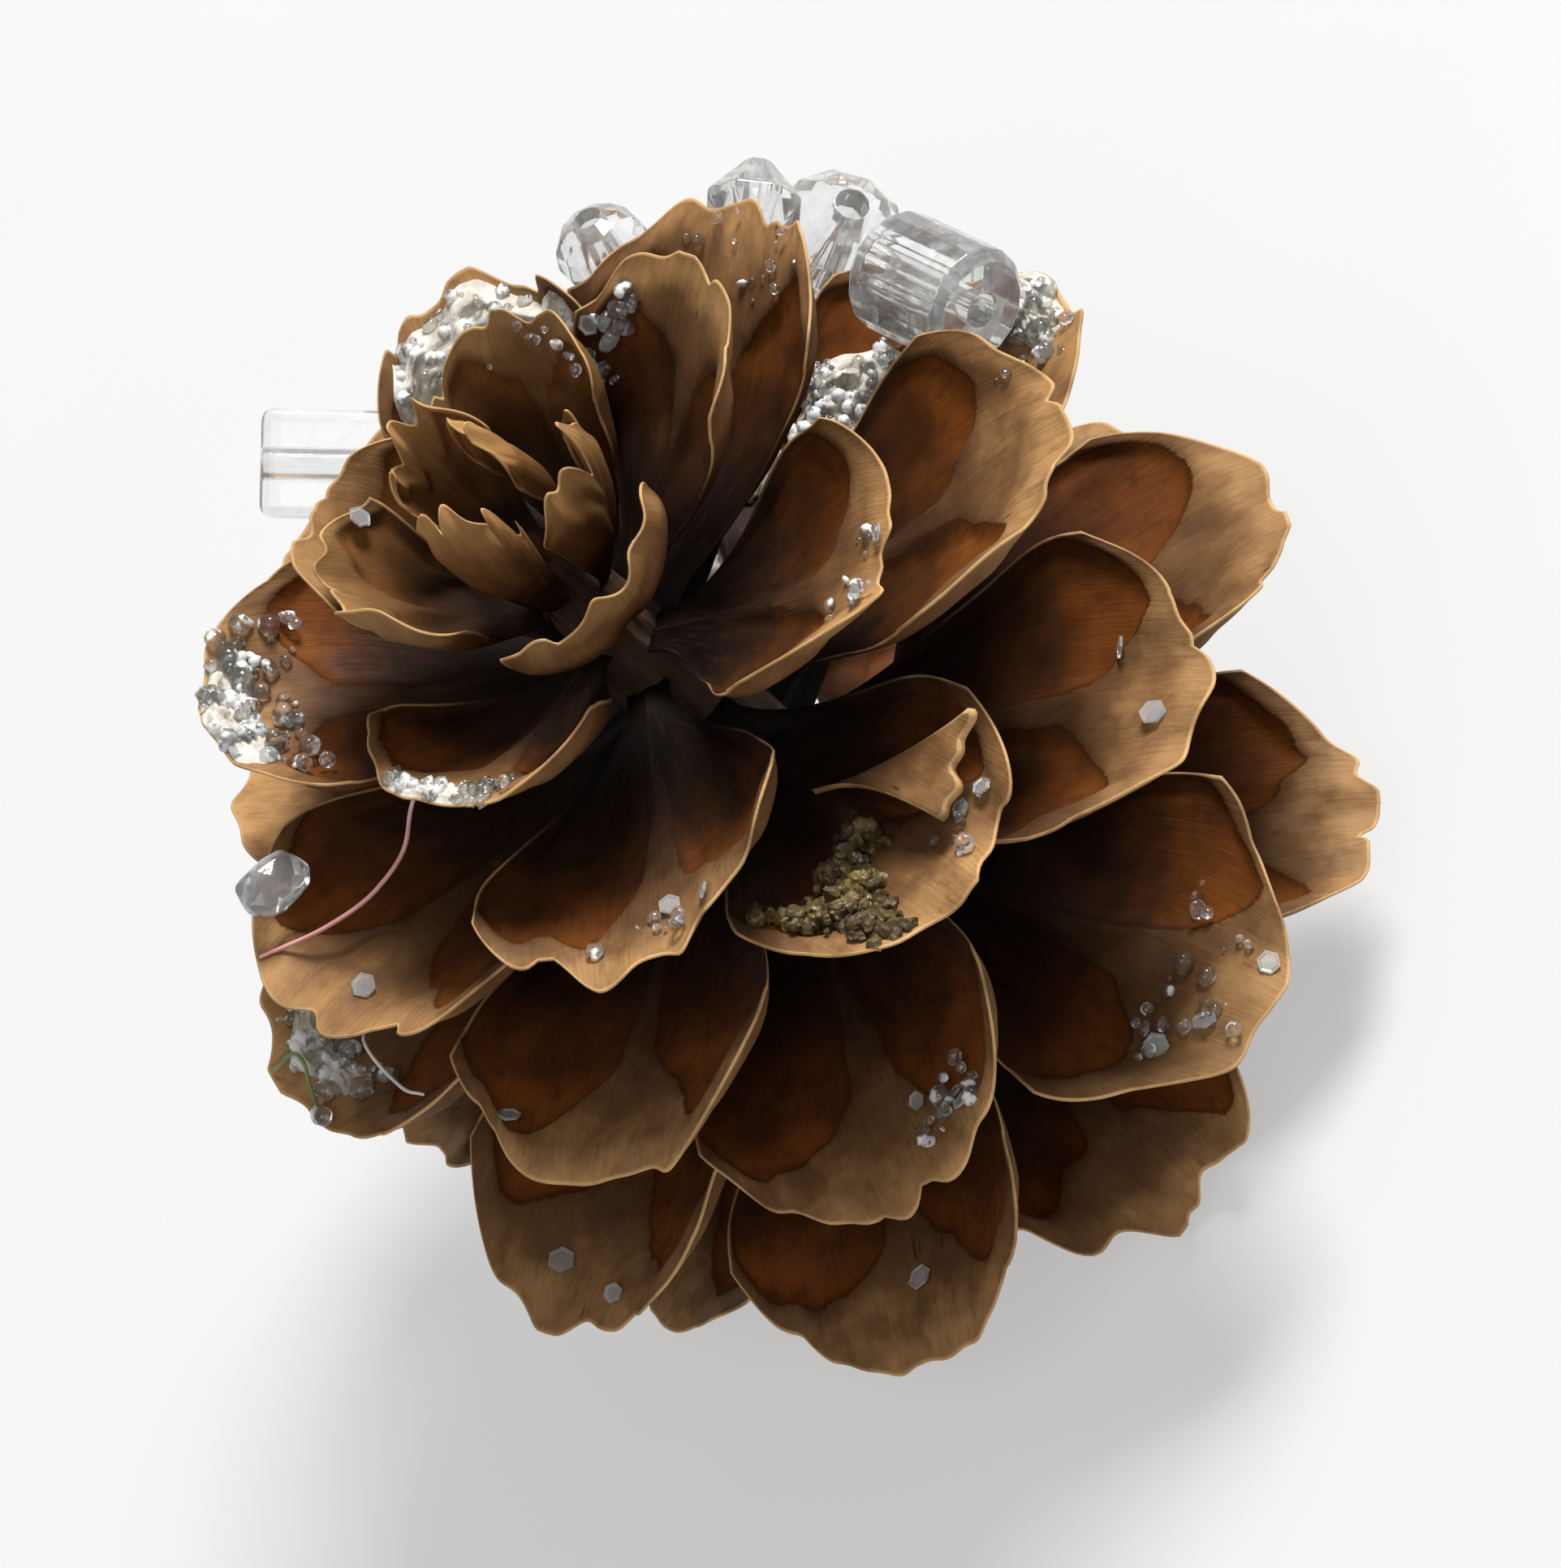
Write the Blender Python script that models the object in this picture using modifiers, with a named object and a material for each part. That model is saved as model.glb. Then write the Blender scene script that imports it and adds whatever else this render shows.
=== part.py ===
"""A small open spruce cone, dried, with glass beads and artificial snow stuck to it.

The cone stands tip up on the cut face of its stalk and on the tips of its lowest scales.
Its axis is +Z and the origin is the centre of the cut face. All sizes are in metres.
Scales are numbered from the tip down, and each one is turned from the last by the golden angle.
"""
import math
import random

import bmesh
import bpy
from mathutils import Euler, Matrix, Vector

COLLECTION = "pine_cone"
CUTTERS = "pine_cone_cutters"

# The spiral of scales
SCALES = 44
GOLDEN_ANGLE = math.radians(137.508)
FIRST_AZIMUTH = math.radians(9.4)
SEED = 1209

# The outline that the tips of the scales follow: an arc about a centre that sinks with each turn
ARC_CENTRE_Z = 0.0243
ARC_RADIUS = 0.0166
ARC_SHIFT = 0.0050
ARC_SHIFT_END = 0.35
ARC_DROP = 0.0141
ARC_TOP = math.radians(85.4)
ARC_FOOT = math.radians(-48.6)
ARC_POWER = 1.073
FLOOR_Z = 0.0

# Where the scales leave the axis
TOP_CLAW_Z = 0.0330
FOOT_CLAW_Z = 0.0052
CLAW_BULGE = 0.0024

# One scale
WIDTH_TOP = 0.0035
WIDTH_FULL = 0.0142
FULL_SIZE_SCALE = 18
WIDTH_POWER = 1.05
FOOT_SCALES = 8
FOOT_NARROWER = 0.20
FOOT_SHORTER = 0.22
CLAW_HALF_WIDTH = 0.0009
WIDEST_AT = 0.72
SPREAD_POWER = 1.5
END_TAPER = 0.18
SHOULDER = 0.34
SHOULDER_POWER = 2.6
CUP_TOP = 1.10
CUP_FULL = 0.60
BEND_TOP = math.radians(15)
BEND_FULL = math.radians(8)
THICKNESS_TOP = 0.00040
THICKNESS_FULL = 0.00060
TWIST = math.radians(6)
LEAN = math.radians(1.5)
WIDTH_SPREAD = 0.06
# Scales that sit off the spiral: degrees round the axis, how far the tip is moved out and up, and
# how much wider the scale is
SET_OFF = {
    1: (0, 0.0, 0.0, 1.20),
    4: (-8, 0.0004, 0.0004, 1.35),
    5: (0, 0.0, 0.0, 1.10),
    6: (12, 0.0, 0.0, 1.15),
    7: (6, -0.0018, 0.0, 1.0),
    8: (14, 0.0006, 0.0, 1.0),
    9: (6, -0.0012, -0.0018, 1.05),
    10: (-8, -0.0004, 0.0, 0.86),
    11: (11, 0.0007, -0.0018, 1.08),
    12: (-7, -0.0006, 0.0, 1.0),
    14: (-1, 0.0004, -0.0018, 1.0),
    15: (0, -0.0030, 0.0, 1.0),
    16: (-5, 0.0019, 0.0, 1.0),
    18: (0, -0.0022, 0.0, 1.0),
    19: (-1, 0.0, -0.0014, 1.0),
    20: (0, -0.0016, 0.0, 1.0),
    27: (-7, 0.0, 0.0, 1.0),
}
ACROSS_CELLS = 6
ALONG_CELLS = 5

# The woody axis: height and radius, from the rounded top down to the cut face
AXIS_TURNED = (
    (0.0342, 0.0),
    (0.0340, 0.0007),
    (0.0332, 0.0012),
    (0.0270, 0.0018),
    (0.0190, 0.0024),
    (0.0070, 0.0027),
    (0.0044, 0.0026),
    (0.0025, 0.0023),
    (0.0, 0.0025),
    (0.0, 0.0),
)
AXIS_SIDES = 24
GAP = 0.0003

# Glass beads: name, outline, width, length and bore, then the number of the scale each is stuck to,
# its place along and across it, how far its middle stands in from the outer face, and its turn
BEADS = (
    ("bead_square", "square", 0.0040, 0.0057, 0.0013, 15, 1.04, -0.30, -0.0025, (95, -10, -75)),
    ("bead_round_1", "round", 0.0036, 0.0033, 0.0011, 18, 1.00, -0.20, 0.0026, (20, 35, 0)),
    ("bead_bicone", "bicone", 0.0037, 0.0035, 0.0010, 13, 0.96, 0.30, -0.0024, (25, -60, 0)),
    ("bead_round_2", "round", 0.0052, 0.0048, 0.0013, 26, 0.98, 0.28, 0.0036, (35, 20, 0)),
    ("bead_drum", "drum", 0.0046, 0.0050, 0.0013, 21, 0.86, 0.28, 0.0036, (80, 25, 10)),
    ("bead_round_3", "round", 0.0050, 0.0046, 0.0013, 28, 0.90, 0.30, 0.0036, (-30, 20, 0)),
    ("bead_tube", "drum", 0.0034, 0.0058, 0.0012, 23, 0.90, -0.25, 0.0029, (88, 0, 60)),
)
BEAD_SIDES = {"round": 10, "bicone": 8, "drum": 16}
BORE_SIDES = 12
BORE_CLEARANCE = 1.5
ROUND_STEPS = 6
GIRDLE = 0.1
EDGE_ROUND = 0.0004

# A broken piece of bead: the scale, its place along and across, its standing off, and its size
CHIP = (17, 0.98, -0.74, 0.0022, (0.0030, 0.0022, 0.0015))
CHIP_ROUGHNESS = 0.16

# Crusts of snow on the inner faces: name, scale, from and to along, from and to across, thickness
CRUSTS = (
    ("snow_crust_1", 10, 0.64, 0.95, -0.72, 0.76, 0.0009),
    ("snow_crust_2", 21, 0.42, 0.70, 0.30, 0.92, 0.0011),
    ("snow_crust_3", 26, 0.48, 0.80, -0.80, 0.80, 0.0012),
    ("snow_crust_4", 23, 0.42, 0.70, -0.75, 0.75, 0.0011),
    ("snow_crust_5", 31, 0.58, 0.94, -0.70, 0.70, 0.0012),
)
CRUST_CELLS = 6
CRUST_LUMPS = 0.40
CRUST_CORNER_ROUND = 0.16
CRUST_EDGE_HEIGHT = 0.35

# The lump of resin: the scale, its place along and across, its standing off, and its size
RESIN_LUMP = (19, 0.86, -0.56, 0.0018, (0.0048, 0.0026, 0.0012))
RESIN_ROUGHNESS = 0.22

# The step back along a scale that gives the direction towards its tip
STEP_BACK = 0.02

BROWN = (0.17, 0.075, 0.030)
DARK_BROWN = (0.070, 0.032, 0.016)
CLEAR = (0.86, 0.90, 0.91)
SNOW = (0.88, 0.90, 0.90)
RESIN = (0.30, 0.23, 0.08)


def clear_scene():
    for thing in list(bpy.data.objects):
        bpy.data.objects.remove(thing, do_unlink=True)


def new_collection(name, shown=True):
    collection = bpy.data.collections.new(name)
    bpy.context.scene.collection.children.link(collection)
    collection.hide_render = not shown
    return collection


def new_material(name, color, roughness, metallic=0.0):
    material = bpy.data.materials.new(name)
    material.use_nodes = True
    shader = material.node_tree.nodes["Principled BSDF"]
    shader.inputs["Base Color"].default_value = (*color, 1.0)
    shader.inputs["Roughness"].default_value = roughness
    shader.inputs["Metallic"].default_value = metallic
    return material


def new_object(name, mesh, material, collection, parent):
    mesh.materials.append(material)
    thing = bpy.data.objects.new(name, mesh)
    collection.objects.link(thing)
    thing.parent = parent
    return thing


def mix(start, end, share):
    return start + (end - start) * share


def axis_radius(z):
    """The axis's radius at a height."""
    for (z_high, r_high), (z_low, r_low) in zip(AXIS_TURNED, AXIS_TURNED[1:]):
        if z_low <= z <= z_high and z_high > z_low:
            return mix(r_low, r_high, (z - z_low) / (z_high - z_low))
    return 0.0


class Scale:
    """The shape of one scale, in its own frame: +X leaves the axis, +Z is up, origin on the axis."""

    def __init__(self, number):
        chance = random.Random(SEED + number)
        share = number / (SCALES - 1)
        grown = min(number / FULL_SIZE_SCALE, 1.0)
        foot = max(number + FOOT_SCALES + 1 - SCALES, 0) / FOOT_SCALES
        turned_by, reach, lift, wider = SET_OFF.get(number, (0, 0.0, 0.0, 1.0))
        arc = mix(ARC_TOP, ARC_FOOT, share ** ARC_POWER)
        shift = ARC_SHIFT * math.sin(min(share / ARC_SHIFT_END, 1.0) * math.pi / 2)
        tip_r = (shift + ARC_RADIUS * math.cos(arc)) * (1 - FOOT_SHORTER * foot) + reach
        tip_z = ARC_CENTRE_Z - ARC_DROP * share + ARC_RADIUS * math.sin(arc) + lift
        tip_z = max(tip_z, FLOOR_Z)

        self.claw_z = mix(TOP_CLAW_Z, FOOT_CLAW_Z, share) + CLAW_BULGE * math.sin(share * math.pi)
        self.thickness = mix(THICKNESS_TOP, THICKNESS_FULL, grown)
        width = mix(WIDTH_TOP, WIDTH_FULL, math.sin(grown * math.pi / 2) ** WIDTH_POWER)
        width *= (1 - FOOT_NARROWER * foot) * (1 + WIDTH_SPREAD * chance.uniform(-1, 1))
        self.half_width = width * wider / 2
        self.twist = TWIST * chance.uniform(-1, 1) * grown
        self.azimuth = FIRST_AZIMUTH - number * GOLDEN_ANGLE + math.radians(turned_by)
        self.azimuth += LEAN * chance.uniform(-1, 1)
        self.cup = mix(CUP_TOP, CUP_FULL, math.sin(grown * math.pi / 2)) / self.half_width

        rise = tip_z - self.claw_z
        bend = mix(BEND_TOP, BEND_FULL, grown)
        self.claw_r = axis_radius(self.claw_z) + GAP
        steep = math.atan2(rise, tip_r - self.claw_r) - bend
        self.claw_r += self.thickness * max(math.sin(steep), 0.0)
        run = tip_r - self.claw_r
        self.length = math.hypot(rise, run)
        self.start = math.atan2(rise, run) - bend
        self.bend = 2 * bend

    def place(self):
        return Matrix.Translation((0, 0, self.claw_z)) @ Matrix.Rotation(self.azimuth, 4, "Z")

    def half_width_at(self, along):
        spread = math.sin(min(along / WIDEST_AT, 1.0) * math.pi / 2) ** SPREAD_POWER
        half = mix(CLAW_HALF_WIDTH, self.half_width, spread)
        past = max(along - WIDEST_AT, 0.0) / (1 - WIDEST_AT)
        return half * (1 - END_TAPER * past ** 2)

    def point(self, along, across, lift=0.0):
        """A point on the outer face: along 0 to 1 from claw to tip, across -1 to 1, lift inwards."""
        along = along * (1 - SHOULDER * abs(across) ** SHOULDER_POWER)
        angle = self.start + self.bend * along
        radius = self.length / (2 * math.sin(self.bend / 2))
        r = self.claw_r + radius * (math.sin(angle) - math.sin(self.start))
        z = radius * (math.cos(self.start) - math.cos(angle))
        half = across * self.half_width_at(along)
        turn = half * self.cup
        side = math.sin(turn) / self.cup
        up = (1 - math.cos(turn)) / self.cup
        twist = self.twist * along
        out = up * math.cos(twist) + side * math.sin(twist)
        side = side * math.cos(twist) - up * math.sin(twist)
        inner = turn + twist
        side -= lift * math.sin(inner)
        out += lift * math.cos(inner)
        return Vector((r - out * math.sin(angle), side, z + out * math.cos(angle)))


def build_scale(number, material, collection, parent):
    """A curved, cupped blade: a bent grid on the outer face, thickened inwards."""
    shape = Scale(number)
    grid = bmesh.new()
    bmesh.ops.create_grid(grid, x_segments=ACROSS_CELLS, y_segments=ALONG_CELLS, size=1)
    for vertex in grid.verts:
        vertex.co = shape.point((vertex.co.y + 1) / 2, vertex.co.x)
    mesh = bpy.data.meshes.new(f"scale_{number + 1:02d}")
    grid.to_mesh(mesh)
    grid.free()
    mesh.shade_smooth()
    blade = new_object(mesh.name, mesh, material, collection, parent)
    blade.matrix_local = shape.place()
    wood = blade.modifiers.new("wood", "SOLIDIFY")
    wood.thickness = shape.thickness
    wood.offset = -1
    return blade


def turned(name, outline, sides, material, collection, parent):
    """A turned piece: an outline of (height, radius), run from the top down the outer side."""
    mesh = bpy.data.meshes.new(name)
    points = [(radius, 0, height) for height, radius in outline]
    mesh.from_pydata(points, [(i, i + 1) for i in range(len(points) - 1)], [])
    piece = new_object(name, mesh, material, collection, parent)
    screw = piece.modifiers.new("turned", "SCREW")
    screw.axis = "Z"
    screw.steps = sides
    screw.render_steps = sides
    screw.use_merge_vertices = True
    screw.merge_threshold = 0.00001
    return piece


def build_axis(material, collection, parent):
    return turned("cone_axis", AXIS_TURNED, AXIS_SIDES, material, collection, parent)


def on_scale(number, along, across, lift, turn=(0, 0, 0)):
    """The frame of a piece stuck to a scale: +X towards the tip, +Z off the inner face, then turned."""
    shape = Scale(number)
    spot = shape.point(along, across, lift)
    off = (shape.point(along, across, lift + GAP) - spot).normalized()
    back = shape.point(along - STEP_BACK, across, lift)
    ahead = (spot - back).normalized()
    side = off.cross(ahead).normalized()
    ahead = side.cross(off)
    frame = Matrix((ahead, side, off)).transposed().to_4x4()
    frame.translation = spot
    angles = [math.radians(angle) for angle in turn]
    return shape.place() @ frame @ Euler(angles).to_matrix().to_4x4()


def bead_outline(kind, width, length, bore):
    """A bead's section, as (height, radius): down its outside, then up the wall of its bore."""
    half = length / 2
    out = width / 2
    hole = bore / 2
    if kind == "round":
        end = math.acos(hole / out)
        angles = [mix(end, -end, step / ROUND_STEPS) for step in range(ROUND_STEPS + 1)]
        stretch = half / (out * math.sin(end))
        return [(out * math.sin(a) * stretch, out * math.cos(a)) for a in angles]
    if kind == "bicone":
        return [(half, hole), (half * GIRDLE, out), (-half * GIRDLE, out), (-half, hole)]
    edge = EDGE_ROUND
    return [
        (half, hole),
        (half, out - edge),
        (half - edge, out),
        (edge - half, out),
        (-half, out - edge),
        (-half, hole),
    ]


def build_turned_bead(name, kind, width, length, bore, material, collection, parent):
    outline = bead_outline(kind, width, length, bore)
    outline.append(outline[0])
    return turned(name, outline, BEAD_SIDES[kind], material, collection, parent)


def build_square_bead(name, width, length, bore, material, collection, cutters, parent):
    """A block with rounded edges and a hole drilled along it."""
    block = bmesh.new()
    bmesh.ops.create_cube(block, size=1)
    bmesh.ops.scale(block, vec=(width, width, length), verts=block.verts)
    mesh = bpy.data.meshes.new(name)
    block.to_mesh(mesh)
    block.free()
    bead = new_object(name, mesh, material, collection, parent)
    edges = bead.modifiers.new("edges", "BEVEL")
    edges.width = EDGE_ROUND
    edges.segments = 2

    drill = bmesh.new()
    radius = bore / 2
    depth = length * BORE_CLEARANCE
    bmesh.ops.create_cone(
        drill, cap_ends=True, segments=BORE_SIDES, radius1=radius, radius2=radius, depth=depth
    )
    drill_mesh = bpy.data.meshes.new(name + "_drill")
    drill.to_mesh(drill_mesh)
    drill.free()
    cutter = new_object(drill_mesh.name, drill_mesh, material, cutters, bead)
    cutter.hide_render = True
    cutter.display_type = "WIRE"
    hole = bead.modifiers.new("bore", "BOOLEAN")
    hole.object = cutter
    return bead


def build_lump(name, lump_values, roughness, seed, material, collection, parent):
    """A small irregular lump: a ball pushed in and out at random, then flattened to its size."""
    number, along, across, lift, size = lump_values
    chance = random.Random(seed)
    ball = bmesh.new()
    bmesh.ops.create_icosphere(ball, subdivisions=2, radius=0.5)
    for vertex in ball.verts:
        vertex.co *= 1 + roughness * chance.uniform(-1, 1)
    bmesh.ops.scale(ball, vec=size, verts=ball.verts)
    mesh = bpy.data.meshes.new(name)
    ball.to_mesh(mesh)
    ball.free()
    lump = new_object(name, mesh, material, collection, parent)
    lump.matrix_local = on_scale(number, along, across, lift)
    return lump


def build_crust(name, number, along, across, thickness, material, collection, parent):
    """Snow lying on a scale's inner face: a patch that follows the face, lumpy on top."""
    shape = Scale(number)
    chance = random.Random(SEED * (number + 1))
    patch = bmesh.new()
    bmesh.ops.create_grid(patch, x_segments=CRUST_CELLS, y_segments=CRUST_CELLS, size=1)
    bottom = list(patch.verts)
    grown = bmesh.ops.extrude_face_region(patch, geom=patch.faces[:])["geom"]
    top = [item for item in grown if isinstance(item, bmesh.types.BMVert)]
    under = shape.thickness + GAP
    for vertex in bottom + top:
        round_off = 1 - CRUST_CORNER_ROUND * (vertex.co.x * vertex.co.y) ** 2
        a = mix(*along, (vertex.co.y * round_off + 1) / 2)
        w = mix(*across, (vertex.co.x * round_off + 1) / 2)
        rim = max(abs(vertex.co.x), abs(vertex.co.y)) > 1 - 1 / CRUST_CELLS
        height = thickness * (CRUST_EDGE_HEIGHT if rim else 1 + CRUST_LUMPS * chance.uniform(-1, 1))
        vertex.co = shape.point(a, w, under + (height if vertex in top else 0.0))
    bmesh.ops.recalc_face_normals(patch, faces=patch.faces[:])
    mesh = bpy.data.meshes.new(name)
    patch.to_mesh(mesh)
    patch.free()
    crust = new_object(name, mesh, material, collection, parent)
    crust.matrix_local = shape.place()
    return crust


def build_beads(glass, collection, cutters, parent):
    for name, kind, width, length, bore, number, along, across, lift, turn in BEADS:
        if kind == "square":
            bead = build_square_bead(name, width, length, bore, glass, collection, cutters, parent)
        else:
            bead = build_turned_bead(name, kind, width, length, bore, glass, collection, parent)
        bead.matrix_local = on_scale(number, along, across, lift, turn)


def main():
    clear_scene()
    collection = new_collection(COLLECTION)
    origin = bpy.data.objects.new("cone_origin", None)
    collection.objects.link(origin)
    build_axis(new_material("axis_wood", DARK_BROWN, 0.8), collection, origin)
    scale_wood = new_material("scale_wood", BROWN, 0.6)
    for number in range(SCALES):
        build_scale(number, scale_wood, collection, origin)

    cutters = new_collection(CUTTERS, shown=False)
    glass = new_material("clear_glass", CLEAR, 0.05)
    build_beads(glass, collection, cutters, origin)
    build_lump("bead_chip", CHIP, CHIP_ROUGHNESS, SEED, glass, collection, origin)
    snow = new_material("snow", SNOW, 0.5)
    for name, number, low, high, left, right, thickness in CRUSTS:
        build_crust(name, number, (low, high), (left, right), thickness, snow, collection, origin)
    resin = new_material("resin", RESIN, 0.6)
    build_lump("resin_lump", RESIN_LUMP, RESIN_ROUGHNESS, SEED + 1, resin, collection, origin)


main()
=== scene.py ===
# The looks of an opened pine cone dressed with glass beads and frosty grains, around its packed
# frame. Lengths are in metres. Each scale is drawn again as a fine sheet on the same surface as its
# plain solid, with a wavy rim, a hollow where each seed wing lay, and attributes for its material.
# Scales are numbered from 0 at the cone's tip, and their solids from scale_01.

import math
import random

import bmesh
import bpy
import numpy as np
from mathutils import Matrix, Vector, noise


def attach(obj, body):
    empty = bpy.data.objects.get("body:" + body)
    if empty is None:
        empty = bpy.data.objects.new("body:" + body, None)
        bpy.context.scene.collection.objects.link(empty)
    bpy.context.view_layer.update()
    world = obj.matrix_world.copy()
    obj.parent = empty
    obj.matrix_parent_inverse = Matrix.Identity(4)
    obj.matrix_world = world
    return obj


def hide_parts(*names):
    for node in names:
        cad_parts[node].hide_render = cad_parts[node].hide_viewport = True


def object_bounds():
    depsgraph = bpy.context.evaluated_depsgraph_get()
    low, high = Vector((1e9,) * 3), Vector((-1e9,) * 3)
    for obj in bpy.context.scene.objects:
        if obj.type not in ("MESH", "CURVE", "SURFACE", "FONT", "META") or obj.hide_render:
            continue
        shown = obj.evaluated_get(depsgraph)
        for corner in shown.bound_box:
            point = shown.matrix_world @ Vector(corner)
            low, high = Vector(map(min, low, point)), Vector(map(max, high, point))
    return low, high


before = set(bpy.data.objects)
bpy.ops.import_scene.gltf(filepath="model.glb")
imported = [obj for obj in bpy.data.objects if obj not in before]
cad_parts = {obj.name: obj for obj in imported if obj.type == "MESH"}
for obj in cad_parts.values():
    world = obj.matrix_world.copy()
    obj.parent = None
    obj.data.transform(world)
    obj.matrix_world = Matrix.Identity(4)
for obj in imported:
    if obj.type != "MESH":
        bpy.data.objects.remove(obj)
CAD_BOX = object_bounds()
MM = 0.001

# The spiral of scales, as the plain solids have it. The two SHOULDER values aren't theirs: they give
# the fine sheets fuller corners.
SCALES = 44
GOLDEN_ANGLE = math.radians(137.508)
FIRST_AZIMUTH = math.radians(9.4)
SEED = 1209
ARC_CENTRE_Z = 0.0243
ARC_RADIUS = 0.0166
ARC_SHIFT = 0.0050
ARC_SHIFT_END = 0.35
ARC_DROP = 0.0141
ARC_TOP = math.radians(85.4)
ARC_FOOT = math.radians(-48.6)
ARC_POWER = 1.073
TOP_CLAW_Z = 0.0330
FOOT_CLAW_Z = 0.0052
CLAW_BULGE = 0.0024
WIDTH_TOP = 0.0035
WIDTH_FULL = 0.0142
FULL_SIZE_SCALE = 18
WIDTH_POWER = 1.05
FOOT_SCALES = 8
FOOT_NARROWER = 0.20
FOOT_SHORTER = 0.22
CLAW_HALF_WIDTH = 0.0009
WIDEST_AT = 0.72
SPREAD_POWER = 1.5
END_TAPER = 0.18
SHOULDER = 0.28
SHOULDER_POWER = 3.0
CUP_TOP = 1.10
CUP_FULL = 0.60
BEND_TOP = math.radians(15)
BEND_FULL = math.radians(8)
THICKNESS_TOP = 0.00040
THICKNESS_FULL = 0.00060
TWIST = math.radians(6)
LEAN = math.radians(1.5)
WIDTH_SPREAD = 0.06
GAP = 0.0003
SET_OFF = {  # degrees round the axis, tip out, tip up, how much wider
    1: (0, 0.0, 0.0, 1.20),
    4: (-8, 0.0004, 0.0004, 1.35),
    5: (0, 0.0, 0.0, 1.10),
    6: (12, 0.0, 0.0, 1.15),
    7: (6, -0.0018, 0.0, 1.0),
    8: (14, 0.0006, 0.0, 1.0),
    9: (6, -0.0012, -0.0018, 1.05),
    10: (-8, -0.0004, 0.0, 0.86),
    11: (11, 0.0007, -0.0018, 1.08),
    12: (-7, -0.0006, 0.0, 1.0),
    14: (-1, 0.0004, -0.0018, 1.0),
    15: (0, -0.0030, 0.0, 1.0),
    16: (-5, 0.0019, 0.0, 1.0),
    18: (0, -0.0022, 0.0, 1.0),
    19: (-1, 0.0, -0.0014, 1.0),
    20: (0, -0.0016, 0.0, 1.0),
    27: (-7, 0.0, 0.0, 1.0),
}
IN_PLACE = (0, 0.0, 0.0, 1.0)  # for the scales that aren't set off
AXIS_TURNED = (
    (0.0342, 0.0), (0.0340, 0.0007), (0.0332, 0.0012), (0.0270, 0.0018), (0.0190, 0.0024),
    (0.0070, 0.0027), (0.0044, 0.0026), (0.0025, 0.0023), (0.0, 0.0025), (0.0, 0.0),
)  # (height, radius)

# The fine sheet of each scale. Places along and across it are shares, as in Scale.point.
COLUMNS = 72
ROWS = 42
ROOT_ALONG = -0.05  # the sheet begins inside the axis
FARTHEST = 0.990  # the rim's waves stop short of the solid's tip
TRIMMED = {29: 0.018, 32: 0.006}  # these reach farthest out, so they are a little shorter
FINE_WIDER = 1.05
RIM_THIN = 0.20  # the rim's thickness as a share of the scale's
RIM_RUN = 0.0014  # the distance over which the sheet thins
RAGGED_SCALES = 8  # so many of the youngest have rougher rims
RAGGED_TOP = 1.9
YOUNG_SCALES = 9  # so many have the young wood's colour, fading out
OLDEST_TONE = 0.35
TIP_SIDEWAYS = 0.16
RIM_WAVES = 5
WAVE_HEIGHT = 0.00050
RIM_CRINKLES = 4
CRINKLE = 0.00009
NOTCHES = (1, 2, 2, 3)  # how many a rim may have
NOTCH_DEPTH = 0.00070
SIDE_WAVE = 0.035
RUFFLE = 0.00026
RUFFLED_FROM = 0.35
EDGE_CURL = 0.0009
CURL_FROM = 0.15
WING_HOLLOW = 0.00042
HOLLOW_BEHIND = 0.6  # how much of the hollow shows as a rise on the outer face
WING_INNER_FALL = 0.24  # how far a wing's end falls back towards the middle, and towards the side
WING_OUTER_FALL = 0.03

# The camera looks down on the cone's -Y side and is rolled clockwise.
CAMERA_ELEVATION = math.radians(45.1)
CAMERA_ROLL = math.radians(45.7)
CAMERA_DISTANCE = 0.48
VIEW_HEIGHT = 0.0565  # the height of the view at the cone
SENSOR = 36.0
AIM_RIGHT = 0.0040
AIM_UP = -0.0037


def mix(a, b, share):
    return a + (b - a) * share


def smooth(low, high, value):
    share = np.clip((value - low) / (high - low), 0, 1)
    return share * share * (3 - 2 * share)


def axis_radius(height):
    outer = sorted(AXIS_TURNED[1:-1])
    return float(np.interp(height, [h for h, r in outer], [r for h, r in outer]))


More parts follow.
